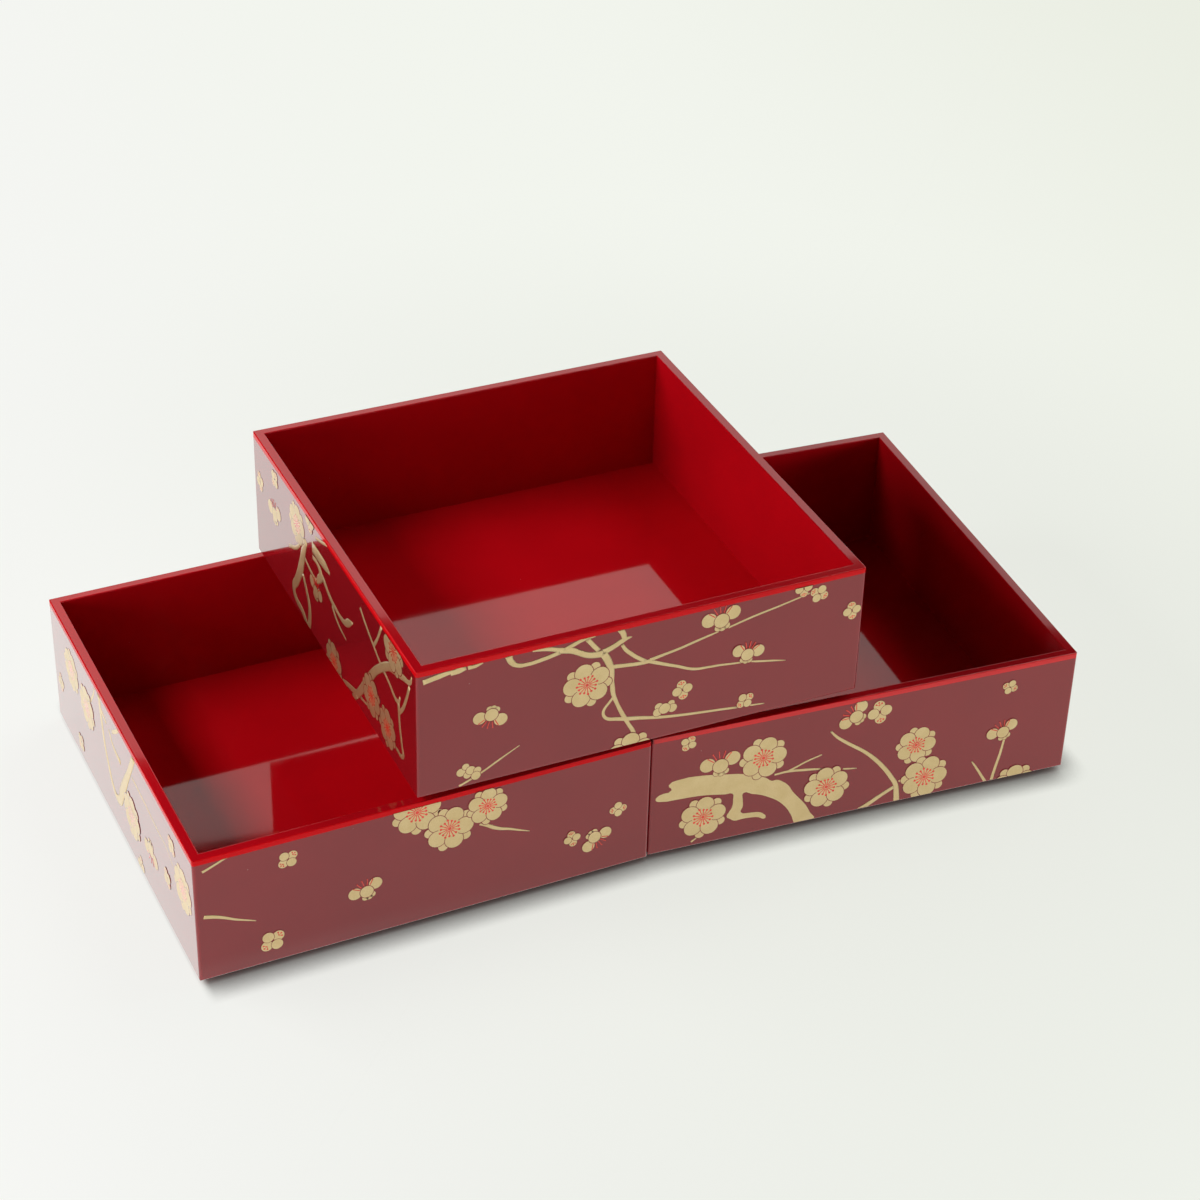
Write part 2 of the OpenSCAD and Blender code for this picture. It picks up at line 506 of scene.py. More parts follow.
def tier_coordinates(tree, tier):
    """Coordinates in a tier's own directions, from its middle at the boards' lower edge."""
    coords = add_node(tree, "ShaderNodeTexCoord").outputs["Object"]
    mapping = add_node(
        tree,
        "ShaderNodeMapping",
        {
            "Vector": coords,
            "Location": tier_place(tier),
            "Rotation": (0.0, 0.0, math.radians(TURNS[tier])),
        },
        vector_type="TEXTURE",
    )
    return mapping.outputs["Vector"]


def make_zone_group():
    """Node group that tells the outside, the rim's band and the edges of a board that get a painted
    highlight.
    """
    group = bpy.data.node_groups.new("board_zones", "ShaderNodeTree")
    group_sockets(
        group,
        [("Vector", "NodeSocketVector", None)],
        [
            ("Outside", "NodeSocketFloat"),
            ("Band", "NodeSocketFloat"),
            ("Edges", "NodeSocketFloat"),
        ],
    )
    start = group.nodes.new("NodeGroupInput").outputs["Vector"]
    axes = add_node(group, "ShaderNodeSeparateXYZ", {"Vector": start}).outputs
    across = calculate(group, "ABSOLUTE", axes["X"])
    along = calculate(group, "ABSOLUTE", axes["Y"])
    reach = calculate(group, "MAXIMUM", across, along)
    nearer = calculate(group, "MINIMUM", across, along)
    face = calculate(group, "GREATER_THAN", reach, (SIDE_W / 2 - FACE_DEPTH) * MM)
    shake = noise(group, start, SHAKE_SCALE, 2.0)
    line = calculate(group, "MULTIPLY_ADD", shake, LINE_SHAKE * MM, axes["Z"])
    line_z = (BOARD_H - RIM_BAND) * MM
    below = calculate(group, "LESS_THAN", line, line_z)
    outside = calculate(group, "MULTIPLY", face, below)
    band = calculate(group, "MULTIPLY", face, calculate(group, "SUBTRACT", 1.0, below))
    highlight_from, highlight_to = [(SIDE_W / 2 - inward) * MM for inward in HIGHLIGHT_IN]
    upright = step_up(group, nearer, highlight_from, highlight_to)
    above = step_up(group, axes["Z"], *[up * MM for up in HIGHLIGHT_UP])
    edges = calculate(group, "MAXIMUM", upright, calculate(group, "SUBTRACT", 1.0, above))
    add_node(group, "NodeGroupOutput", {"Outside": outside, "Band": band, "Edges": edges})
    return group


ZONES = make_zone_group()
print("rim band ends", RIM_BAND, "mm below the rim")

# %% [markdown]
# ## Lacquer on the boards, the floors and the feet
# On a board the colours are laid one over another: bright red inside, the band under the rim,
# and burgundy below it, with a painted highlight in a lighter red along the upright corners
# and the lower edge. Where another tier comes very close, the band gets painted shade: it
# darkens towards the near-black red of the feet. Each tier's band has its own gloss, read off
# the picture, so the boards of each tier have a material of their own. Floors and feet have
# one colour each.

# %% Board, panel and foot materials
BURGUNDY = (0.240, 0.007, 0.011, 1.0)
# painted highlight: the lighter red along the upright corners and the lower edge
HIGHLIGHT_RED = (0.36, 0.02, 0.025, 1.0)
BRIGHT_RED = (0.610, 0.003, 0.010, 1.0)
BAND_RED = (0.680, 0.004, 0.008, 1.0)
PANEL_RED = (0.73, 0.003, 0.010, 1.0)
# the near-black red of the foot rails, also used as the band's painted shade
FOOT_AND_BAND_SHADE_RED = (0.030, 0.004, 0.005, 1.0)
HIGHLIGHT_SHARE = 0.45
BAND_REACH = 0.007
BAND_DARKNESS = 3.0
BAND_GLOSS = {"left_tier": 0.15, "right_tier": 0.75, "upper_tier": 0.20}
INSIDE_ROUGHNESS = 0.06
OUTSIDE_ROUGHNESS = 0.16
PANEL_ROUGHNESS = 0.05
FOOT_ROUGHNESS = 0.30


def board_lacquer(tier):
    """Side boards: burgundy outside, bright red over the rim and inside."""
    made, tree, output = new_material(f"{tier}_boards")
    place = tier_coordinates(tree, tier)
    zones = add_node(tree, "ShaderNodeGroup", {"Vector": place}, node_tree=ZONES).outputs
    # painted highlight: lighter red along the upright corners and the lower edge
    highlight_share = calculate(tree, "MULTIPLY", zones["Edges"], HIGHLIGHT_SHARE)
    highlighted = blend_colours(tree, highlight_share, BURGUNDY, HIGHLIGHT_RED)
    # painted shade: the band darkens where ambient occlusion finds another tier close
    gap = add_node(tree, "ShaderNodeAmbientOcclusion", {"Distance": BAND_REACH}, samples=6)
    shade = calculate(tree, "POWER", gap.outputs["AO"], BAND_DARKNESS)
    shaded_band_red = blend_colours(tree, shade, FOOT_AND_BAND_SHADE_RED, BAND_RED)
    rim = blend_colours(tree, zones["Band"], BRIGHT_RED, shaded_band_red)
    colour = blend_colours(tree, zones["Outside"], rim, highlighted)
    rougher = OUTSIDE_ROUGHNESS - INSIDE_ROUGHNESS
    roughness = calculate(tree, "MULTIPLY_ADD", zones["Outside"], rougher, INSIDE_ROUGHNESS)
    gloss = calculate(tree, "MULTIPLY_ADD", zones["Band"], BAND_GLOSS[tier] - 1.0, 1.0)
    add_lacquer(tree, output, place, colour, roughness, gloss=gloss)
    return made


def plain_lacquer(name, colour, roughness):
    """Lacquer of one colour, for the floor panels and the foot rails."""
    made, tree, output = new_material(name)
    coords = add_node(tree, "ShaderNodeTexCoord").outputs["Object"]
    add_lacquer(tree, output, coords, colour, roughness)
    return made


def finish_node(name, material):
    """Gives a CAD piece its material, in place of the plain one it came with."""
    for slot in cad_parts[name].material_slots:
        slot.material = material


PANEL_LACQUER = plain_lacquer("floor_panel_lacquer", PANEL_RED, PANEL_ROUGHNESS)
FOOT_LACQUER = plain_lacquer("foot_rail_lacquer", FOOT_AND_BAND_SHADE_RED, FOOT_ROUGHNESS)
for tier in TURNS:
    boards = board_lacquer(tier)
    finish_node(f"{tier}_floor_panel", PANEL_LACQUER)
    for side in SIDES:
        finish_node(f"{tier}_{side}_board", boards)
        finish_node(f"{tier}_{side}_foot_rail", FOOT_LACQUER)
print("lacquer on", len(TURNS) * (2 * len(SIDES) + 1), "pieces")

# %% [markdown]
# ## The wood inside the corners
# The loose splines are glued into slots in the mitres and never seen on the finished box.
# They still get the look of the cypress they are cut from, for anyone who takes the model
# apart: pale wood with fine straight grain along the piece.

# %% Bare wood
PALE_WOOD = (0.72, 0.52, 0.31, 1.0)
DARK_WOOD = (0.56, 0.36, 0.18, 1.0)
GRAIN_SCALE = (900.0, 900.0, 25.0)


def bare_wood():
    """Pale straight-grained wood of the hidden splines."""
    made, tree, output = new_material("bare_cypress")
    coords = add_node(tree, "ShaderNodeTexCoord").outputs["Object"]
    along = add_node(tree, "ShaderNodeMapping", {"Vector": coords, "Scale": GRAIN_SCALE})
    grain = noise(tree, along.outputs[0], 1.0, 4.0)
    colour = blend_colours(tree, step_up(tree, grain, 0.3, 0.7), PALE_WOOD, DARK_WOOD)
    bump = add_node(tree, "ShaderNodeBump", {"Height": grain, "Distance": 0.00002})
    shader = add_node(
        tree,
        "ShaderNodeBsdfPrincipled",
        {"Base Color": colour, "Roughness": 0.75, "Normal": bump.outputs[0]},
    )
    tree.links.new(shader.outputs[0], output.inputs["Surface"])
    return made


CYPRESS = bare_wood()
splines = [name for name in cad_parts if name.endswith("_spline")]
for name in splines:
    finish_node(name, CYPRESS)
print("bare wood on", len(splines), "splines")

# %% [markdown]
# ## Gold and red paint
# The branches and flowers are gold powder in lacquer, under a thin clear coat. It is softer
# than leaf: a warm pale gold with a fine grain, not fully metallic, uneven where the powder
# was dusted on. The stamens are drawn over it in red, and the fine lines between the petals
# in the burgundy of the ground.

# %% Paint materials
DULL_GOLD = (0.68, 0.50, 0.235, 1.0)
LIGHT_GOLD = (0.80, 0.62, 0.33, 1.0)
STAMEN_RED = (0.80, 0.045, 0.025, 1.0)
POWDER_SCALE = 3500.0
CLOUD_SCALE = 140.0


def gold_paint():
    """Dusted gold powder in lacquer."""
    made, tree, output = new_material("gold_paint")
    coords = add_node(tree, "ShaderNodeTexCoord").outputs["Object"]
    powder = noise(tree, coords, POWDER_SCALE, 2.0)
    cloud = noise(tree, coords, CLOUD_SCALE, 3.0)
    dusted = calculate(tree, "MULTIPLY_ADD", powder, 0.6, calculate(tree, "MULTIPLY", cloud, 0.4))
    colour = blend_colours(tree, step_up(tree, dusted, 0.3, 0.7), DULL_GOLD, LIGHT_GOLD)
    rough = calculate(tree, "MULTIPLY_ADD", powder, 0.25, 0.32)
    bump = add_node(tree, "ShaderNodeBump", {"Height": powder, "Distance": 0.000004})
    shader = add_node(
        tree,
        "ShaderNodeBsdfPrincipled",
        {
            "Base Color": colour,
            "Roughness": rough,
            "Metallic": 0.80,
            "Normal": bump.outputs[0],
            "IOR": LACQUER_IOR,
            "Coat Weight": 0.6,
            "Coat IOR": LACQUER_IOR,
            "Coat Roughness": 0.12,
        },
    )
    tree.links.new(shader.outputs[0], output.inputs["Surface"])
    return made


def ground_paint(name, colour, unevenness):
    """Thin paint drawn over the gold."""
    made, tree, output = new_material(name)
    coords = add_node(tree, "ShaderNodeTexCoord").outputs["Object"]
    add_lacquer(tree, output, coords, colour, 0.16, unevenness)
    return made


PAINTS = {
    "gold": gold_paint(),
    "outline": ground_paint("outline_paint", BURGUNDY, 0.10),
    "stamens": ground_paint("stamen_paint", STAMEN_RED, 0.25),
}
print("paints:", ", ".join(PAINTS))

# %% [markdown]
# ## How the plum branches are built
# Painted lacquer stands very slightly proud of the ground, so each motif is real geometry, at
# most about a quarter of a millimetre high. A motif is drawn on a flat face in millimetres: u
# runs from left to right seen from outside, v runs up from the board's lower edge, and the
# third number is the height above the face.
#
# A twig is a brush stroke. A curve with a radius at each point, pressed flat, gives the same
# swelling and tapering line. A petal is a thin disc, and every disc lies one thin layer above
# the last, so that each petal's fine outline shows on its neighbour. The foot of a trunk is
# too broad for a stroke, so its outline is filled as a plate.

# %% Discs and strokes
LAYER = 0.004
DISC_DEEP = 0.2
STROKE_RISE = 0.04
FIRST_LAYER = 0.07
PLATE_RISE = 0.05


def disc(bm, u, v, radius, layer, segments=20):
    """Thin round patch of paint whose top lies that many layers up."""
    top = FIRST_LAYER + layer * LAYER
    bmesh.ops.create_cone(
        bm,
        cap_ends=True,
        segments=segments,
        radius1=radius,
        radius2=radius,
        depth=DISC_DEEP,
        matrix=Matrix.Translation((u, v, top - DISC_DEEP / 2)),
    )


def bar(bm, start, end, width, layer):
    """Thin straight line of paint from one point to another."""
    a, b = Vector(start), Vector(end)
    top = FIRST_LAYER + layer * LAYER
    middle = Matrix.Translation(((a.x + b.x) / 2, (a.y + b.y) / 2, top - DISC_DEEP / 2))
    turn = Matrix.Rotation(math.atan2(b.y - a.y, b.x - a.x), 4, "Z")
    size = Matrix.Diagonal(((b - a).length, width, DISC_DEEP, 1.0))
    bmesh.ops.create_cube(bm, size=1.0, matrix=middle @ turn @ size)


def mesh_of_curve(curve):
    """Mesh of a curve, which is then deleted."""
    carrier = bpy.data.objects.new("brush", curve)
    bpy.context.scene.collection.objects.link(carrier)
    depsgraph = bpy.context.evaluated_depsgraph_get()
    mesh = bpy.data.meshes.new_from_object(carrier.evaluated_get(depsgraph))
    bpy.data.objects.remove(carrier)
    bpy.data.curves.remove(curve)
    return mesh


def soft_line(curve, points, closed=False):
    """Adds a soft line through points to a curve. A point may have a width, too."""
    spline = curve.splines.new("BEZIER")
    spline.use_cyclic_u = closed
    spline.bezier_points.add(len(points) - 1)
    for knot, (u, v, *width) in zip(spline.bezier_points, points):
        knot.co = (u, v, 0.0)
        knot.radius = width[0] / 2 if width else 1.0
        knot.handle_left_type = "AUTO"
        knot.handle_right_type = "AUTO"


def strokes(bm, lines):
    """Brush strokes through points with a width at each, pressed flat."""
    curve = bpy.data.curves.new("brush", "CURVE")
    curve.dimensions = "3D"
    curve.resolution_u = 4
    curve.bevel_depth = 1.0
    curve.bevel_resolution = 2
    curve.use_fill_caps = True
    for points in lines:
        soft_line(curve, points)
    mesh = mesh_of_curve(curve)
    mesh.transform(Matrix.Diagonal((1.0, 1.0, STROKE_RISE, 1.0)))
    bm.from_mesh(mesh)
    bpy.data.meshes.remove(mesh)


def plate(bm, outline):
    """Flat patch of paint inside an outline, for the broad foot of a trunk."""
    curve = bpy.data.curves.new("plate", "CURVE")
    curve.dimensions = "2D"
    curve.fill_mode = "BOTH"
    curve.extrude = PLATE_RISE
    curve.resolution_u = 3
    soft_line(curve, outline, closed=True)
    mesh = mesh_of_curve(curve)
    bm.from_mesh(mesh)
    bpy.data.meshes.remove(mesh)


print("a layer of paint is", LAYER, "mm")

# %% [markdown]
# ## Flowers and buds
# A full blossom has five round petals and, behind and between them, five small ones. The
# middle is plain gold with fifteen red stamens round a red heart. A half-open bud shows three
# petals, with a small lobed calyx behind it and a few stamens in front. A round bud shows
# four lobes, two of them with three tiny stamens. The numbers in a blossom are millimetres at
# its usual size. In the buds they are parts of a petal's radius. Flowers may overlap, so they
# start at three different heights in turn.

# %% Flowers
BLOSSOM_R = 10.3
FLOWER_LAYERS = 16


def first_layer(order):
    """Layer on which the flower with that number in its list starts."""
    return FLOWER_LAYERS * (order % 3)


def around(u, v, distance, degrees):
    """Point at a distance and direction from another, on the face."""
    angle = math.radians(degrees)
    return u + distance * math.cos(angle), v + distance * math.sin(angle)


def petal(paint, u, v, radius, layer, line=0.3):
    """Gold petal inside its fine dark outline."""
    disc(paint["outline"], u, v, radius + line, layer)
    disc(paint["gold"], u, v, radius, layer + 1)


def stamen(paint, u, v, near, far, degrees, layer, dot, width=0.42):
    """Fine red thread with a dot at its end."""
    start = around(u, v, near, degrees)
    end = around(u, v, far, degrees)
    bar(paint["stamens"], start, end, width, layer)
    disc(paint["stamens"], *end, dot, layer + 1, segments=8)


def blossom(paint, u, v, radius, turn, order):
    """Full five-petalled blossom. The radius reaches to the tips of its petals."""
    s = radius / BLOSSOM_R
    base = first_layer(order)
    for k in range(5):
        petal(paint, *around(u, v, 8.6 * s, turn + 36 + 72 * k), 2.15 * s, base)
    for k in range(5):
        petal(paint, *around(u, v, 6.3 * s, turn + 72 * k), 3.95 * s, base + 2 + 2 * k)
    disc(paint["gold"], u, v, 4.8 * s, base + 13, segments=28)
    for k in range(15):
        reach = (4.35 if k % 2 else 3.75) * s
        stamen(paint, u, v, 1.0 * s, reach, turn + 24 * k + 5, base + 13.5, 0.56 * s)
    disc(paint["stamens"], u, v, 0.8 * s, base + 15, segments=16)


def bud(paint, u, v, radius, turn, order):
    """Half-open bud of three petals. Turn is the way that its stamens point."""
    base = first_layer(order)
    back = turn + 180
    for spread in (-32, 32, 0):
        petal(paint, *around(u, v, 1.05 * radius, back + spread), 0.48 * radius, base, 0.2)
    petal(paint, *around(u, v, 1.75 * radius, turn + 68), radius, base + 2)
    petal(paint, *around(u, v, 1.75 * radius, turn - 68), radius, base + 4)
    petal(paint, u, v, radius, base + 6)
    for spread in (-44, -22, 0, 22, 44):
        stamen(paint, u, v, 1.15 * radius, 2.15 * radius, turn + spread, base + 9, 0.32)


def round_bud(paint, u, v, radius, turn, order):
    """Small opening bud of four lobes, two of them with a few stamens."""
    base = first_layer(order)
    for side in (90, 270):
        u_lobe, v_lobe = around(u, v, 1.3 * radius, turn + side)
        petal(paint, u_lobe, v_lobe, radius, base, 0.2)
        for spread in (-55, 0, 55):
            away = turn + side + spread
            stamen(paint, u_lobe, v_lobe, 0.0, 0.62 * radius, away, base + 2, 0.17 * radius, 0.26)
    for side in (0, 180):
        petal(paint, *around(u, v, 1.15 * radius, turn + side), radius, base + 3, 0.2)


def cluster(paint, lobes):
    """Small leaf buds in a bunch."""
    for layer, (u, v, radius) in enumerate(lobes):
        petal(paint, u, v, radius, 2 * layer, 0.2)


print("a full blossom is about", round(2 * BLOSSOM_R), "mm across")

# %% [markdown]
# ## What is painted on each side
# The branches wander over the side like old plum wood: an upright stem with long, nearly
# level twigs. Each list gives the points of a stroke as (u, v, width) in millimetres, and
# each flower as its middle, its size and its turn. They were laid out from places measured
# on each side. The upper tier's front has the richest branch of all.

# %% Upper tier, front
UPPER_FRONT = {
    "strokes": [
        [(2.9, 54.7, 2.5), (10, 56, 2.6), (15, 56.6, 1.6), (20, 57, 0.8)],
        [(14.2, 55.9, 2.2), (17.5, 56.4, 3), (20.6, 57, 2)],
        [(21.4, 56.6, 1.8), (24.5, 57.1, 2.6), (27.6, 57.7, 1.2)],
        [(38.3, 57.8, 3), (39.2, 55, 2.6), (42, 52.4, 2), (46, 51.8, 1.9), (52, 52.3, 2),
         (60, 53.8, 2)],
        [(48.3, 57.3, 0.5), (52, 57, 1.2), (56, 56.3, 2), (59, 55.2, 2), (62, 54.3, 2.4)],
        [(60, 54.3, 2.2), (65, 53.3, 3), (68, 51.5, 2.6), (72, 49.3, 2.8), (75, 48.6, 3),
         (78.5, 48.4, 3.5)],
        [(62, 54.5, 2), (66, 56, 2), (70, 57.2, 1.5), (75, 57.5, 0.6)],
        [(71.5, 56.9, 2), (74, 53.5, 2), (76.5, 50.2, 2)],
        [(78.5, 48.4, 3.4), (80.5, 44.5, 3.2), (82, 40, 3), (82.7, 34, 1.7), (83, 30, 2.2),
         (83.5, 27, 1.9), (85.3, 22, 1.6), (87, 18, 1.8), (88.4, 15, 2), (90.4, 11, 1.6),
         (92.8, 6.3, 1.9), (93.5, 3.5, 1.9)],
        [(78.6, 49, 3), (83, 50.6, 2.6), (86.5, 52.3, 2.6), (88.5, 52.9, 1.6), (90.7, 53.2, 0.5)],
        [(85.5, 58, 2.6), (87, 55.3, 2.4), (87.5, 52.6, 2)],
        [(86.5, 50.5, 1.4), (88.2, 47.6, 1.7), (90.3, 45.4, 1.8), (93.2, 42.7, 1.8),
         (97, 39.8, 1.8)],
        [(81.8, 41, 2), (89, 40, 1.8), (95, 39.3, 1.8), (100.5, 39.4, 2)],
        [(99, 39.8, 1.8), (106, 41, 1.3), (112, 42, 1.2), (119, 43.6, 1.2), (125, 44.9, 1),
         (129, 45.7, 0.6)],
        [(133.3, 46.5, 0.9), (145, 49.2, 1), (155, 51, 0.9), (165, 53, 0.8), (169.7, 54, 0.6)],
        [(98.5, 39.4, 1.8), (102, 37.7, 1.7), (107, 35.4, 1.5), (112, 33.2, 1.4), (116, 31.2, 1.3),
         (119.5, 30, 1.3), (125, 29.4, 1.1), (131, 28.9, 1), (136, 28.2, 0.9), (140.3, 27.7, 0.8)],
        [(143.5, 27.3, 0.6), (148, 26.2, 1), (154, 24.9, 0.9), (160.5, 23.4, 0.4)],
        [(83.5, 26, 1.3), (81.5, 23.5, 1.2), (79.8, 21.3, 1.2), (79.2, 19.3, 1.3),
         (79.8, 17.3, 1.4), (81.5, 15.8, 1.6), (85, 14.8, 1.8), (90, 13.5, 2), (95, 12.5, 1.8),
         (100, 11.3, 1.6), (105, 10.2, 1.5), (112, 9, 1.3), (120, 7.9, 1.2), (131, 6.6, 1.1),
         (139.5, 5.5, 1)],
        [(145.5, 4.9, 0.9), (152, 4.1, 0.5)],
        [(17.5, 0.8, 1), (23, 3, 1), (27, 4.8, 0.9), (35, 9.2, 0.9), (43.3, 13.6, 0.4)],
    ],
    "blossoms": [(71.8, 35, 10.4, 103), (91.7, -4.3, 10.3, 90)],
    "buds": [(31.2, 31.8, 2.85, 253), (130, 50.7, 3.3, 98), (142.6, 31, 2.8, 78)],
    "round_buds": [
        (114, 21.2, 2.1, 10), (142.9, 8.1, 1.8, -54), (166.4, 57, 1.8, 5), (173.8, 52.6, 1.9, 60),
        (189.7, 40.4, 1.9, 8),
    ],
    "clusters": [
        [(18.3, 7.3, 1.9), (20.3, 9.6, 1.5), (21, 5.3, 1.6), (22.4, 7.3, 2), (25.3, 6.6, 1.6),
         (24.6, 4.1, 2)],
        [(103.8, 15.6, 1.8), (103.3, 13, 2), (109.3, 16, 1.5), (109.9, 13.5, 2),
         (106.4, 14.1, 2.5)],
    ],
    "plates": [],
}
print("upper front:", {kind: len(items) for kind, items in UPPER_FRONT.items()})

# %% [markdown]
# ## The left tier's front
# This is the calmest side. Three blossoms hang together under the rim, with one twig beside
# them and buds scattered round them. What reaches above the red band is cut off later.

# %% Left tier, front
LEFT_FRONT = {
    "strokes": [
        [(3.8, 53.7, 1.2), (8, 55.4, 1.1), (14, 58, 0.9)],
        [(3.3, 31.6, 1.8), (8, 30.2, 1.6), (12, 28.4, 1.3), (16, 26.3, 1), (20, 24.6, 0.8),
         (24.2, 22.9, 0.4)],
        [(119, 41, 0.8), (122, 39.6, 1.6), (125, 37.6, 1.8), (128, 36, 1.5), (132, 34.6, 1.2),
         (136, 32.8, 0.9), (141, 30.7, 0.4)],
    ],
    "blossoms": [(92.3, 55.3, 10.4, 15), (106, 43, 10.4, 71), (122.4, 49.4, 8.7, 85)],
    "buds": [(70.4, 22.3, 2.85, 109), (170.2, 18.3, 2.8, 304)],
    "round_buds": [
        (38.3, 49.1, 2, -50), (30.5, 10.5, 2.45, -51), (160, 20.7, 1.75, 11),
        (180.6, 29.6, 1.7, -88),
    ],
    "clusters": [[(102.2, 52.6, 1.2), (104.2, 52.2, 1.1), (103.1, 50.6, 1.2)]],
    "plates": [],
}
print("left front:", {kind: len(items) for kind, items in LEFT_FRONT.items()})

# %% [markdown]
# ## The right tier's front
# Here the old trunk is seen. Its outline is a list of points of its own. Six blossoms stand
# round it and beside the second stem, the last of them half hidden by the lower edge.

# %% Right tier, front
TRUNK = [
    (8.2, 34.6), (14, 36.5), (22, 36.2), (28, 35.3), (35, 33.9), (41, 32.6), (52, 28), (55, 25.6),
    (57, 25.7), (60, 24), (63, 21), (65, 17.5), (67.8, 13.8), (70, 11), (72, 8), (74, 4), (76, 0),
    (67.3, 0), (65.5, 4), (63.5, 8), (61, 11.5), (58, 14.5), (54, 17.3), (50, 19.5), (46, 21),
    (42.3, 22.4), (42.1, 19), (42.3, 15), (41.5, 12.4), (46, 11), (50, 10.3), (52, 9), (53.3, 6.8),
    (52.5, 6.2), (50, 7.6), (46, 8.4), (42, 8.6), (39, 8.5), (36.8, 10), (35.2, 11.6), (36, 13.5),
    (37.4, 16), (37.7, 20), (37.3, 23.2), (34, 23.7), (28, 24.9), (22, 25.8), (12, 26.3),
    (5.5, 26.8), (2.6, 28.3), (4.2, 30.4), (9.6, 31.8),
]
RIGHT_FRONT = {
    "strokes": [
        [(19.5, 2, 1), (22.5, 4, 0.7)],
        [(56, 28.5, 1), (62, 28.8, 1.2), (70, 27.7, 1.3), (78, 26.3, 0.8)],
        [(62.5, 29, 1), (66, 30.3, 1), (70, 31.9, 0.9), (77.3, 33.9, 0.7)],
        [(87.7, 23.9, 1), (94.2, 22.7, 0.5)],
        [(80.6, 45.3, 0.8), (83, 42.3, 1.2), (87, 38.7, 1.5), (92, 34.8, 1.6), (97, 30.9, 1.6),
         (102, 26, 1.9), (107, 20, 2), (111, 14, 2.1), (113.5, 9.5, 2.3), (114.3, 5, 2.6),
         (114.8, -1, 3)],
        [(113, 8.3, 1.8), (107, 5.2, 2), (102, 2.3, 2.3), (97, -0.4, 2.6)],
        [(115, 10.5, 1), (116.5, 12, 0.8)],
        [(149.5, 13, 0.7), (153, 7.5, 1.1), (158, -1, 1.4)],
        [(164.3, 22.5, 1), (163, 14, 1.3), (161.5, 7, 1.4), (160, -1, 1.6)],
    ],
    "blossoms": [
        (50.4, 38.7, 10.5, 74), (24.3, 14.2, 10.4, 83), (80.5, 16.3, 10.4, 99),
        (121.5, 28.5, 9.3, 67), (127, 10.3, 10.8, 68), (171.5, -4.5, 10.3, 90),
    ],
    "buds": [(31, 39.2, 3.45, 97), (91.8, 50.3, 3, 138), (163, 25.6, 2.85, 110)],
    "round_buds": [(16.2, 54.3, 1.7, -32), (102.6, 50.2, 2.6, 9), (163.8, 49.2, 1.65, 63)],
    "clusters": [],
    "plates": [TRUNK],
}
print("right front:", {kind: len(items) for kind, items in RIGHT_FRONT.items()})

# %% [markdown]
# ## The upper tier's left side
# The old wood loops here, in strokes that swell to six millimetres and thin out again. A
# trunk rises from the lower edge to the upper right corner, with long twigs across it.

# %% Upper tier, left side
UPPER_LEFT = {
    "strokes": [
        [(80, 53, 1.4), (87, 55, 1.6), (95, 58, 1.4)],
        [(68, 44, 3.5), (64, 36, 5), (60, 26, 6), (54, 16, 5), (49, 8, 4), (52, 5, 4), (60, 3.5, 4),
         (66, -1, 4)],
        [(62, 24, 3), (65, 20, 3), (69, 13, 3.5), (69, 5, 4), (67, -1, 4)],
        [(45, 28, 2), (55, 33, 2), (61, 38.5, 2.2), (68, 43, 2.4)],
        [(76, 46, 6), (85, 46, 6), (92, 46, 5), (97.5, 45.5, 1.5)],
        [(76, 41, 2), (82, 41, 2.6), (86, 38, 5), (83, 34, 4), (80, 31.5, 2), (73, 32, 2),
         (66, 34, 2)],
        [(88, 38.5, 3), (97, 33.5, 3), (105, 32, 2.4), (110, 31.5, 2.6), (115, 32.3, 3),
         (119, 35, 4), (124, 38, 1)],
        [(99, 31, 2.5), (102, 28.5, 2.2), (107, 26, 1.8), (115.5, 24.3, 1)],
        [(108, -0.5, 2), (115, 2, 2.5), (122, 3.8, 3), (127, 5, 4), (131, 9, 4.2), (136, 15, 4.5),
         (145, 26, 4.5), (150, 31.5, 4), (155, 36, 4), (160, 40, 4), (166, 44, 4), (172, 46, 4),
         (182, 49, 3), (189, 51.5, 2), (190.5, 55, 1)],
        [(122, 0, 3.5), (127, 4.5, 3.5)],
        [(131, 6, 2), (139, 7.5, 1)],
        [(133.5, 51.5, 2.2), (140, 47, 2), (147, 43.3, 2), (155, 39.3, 2), (165, 36, 2.2),
         (175, 33, 2.4), (177.5, 37, 1)],
        [(149, 43.5, 2), (153, 49, 1.6), (158, 58, 1.8)],
        [(175.5, 33, 2.6), (175.8, 28, 2), (176.5, 22, 2), (178.5, 14, 2), (179.5, 9.5, 2.4),
         (171, 8.5, 1.8)],
        [(176, 28.5, 2), (180, 33, 2), (184, 40, 2), (188, 49, 1.8)],
    ],
    "blossoms": [
        (57, 46, 9.5, 80), (99.5, 3, 9.5, 90), (145, 16, 9.7, 60), (162.5, 12, 9.2, 85),
        (171, 54.5, 10.3, 40),
    ],
    "buds": [(27, 33, 3.2, 100), (79, 25.5, 2.9, 80)],
    "round_buds": [(8, 39, 2, 20), (29, 52, 2, -40), (74, 57, 2.4, 10)],
    "clusters": [],
    "plates": [],
}
print("upper left:", {kind: len(items) for kind, items in UPPER_LEFT.items()})

# %% [markdown]
# ## The left tier's left side
# The white table is mirrored over this side and hides its finer lines, so only the larger
# forms are drawn: one bent trunk, a few twigs and the flowers.

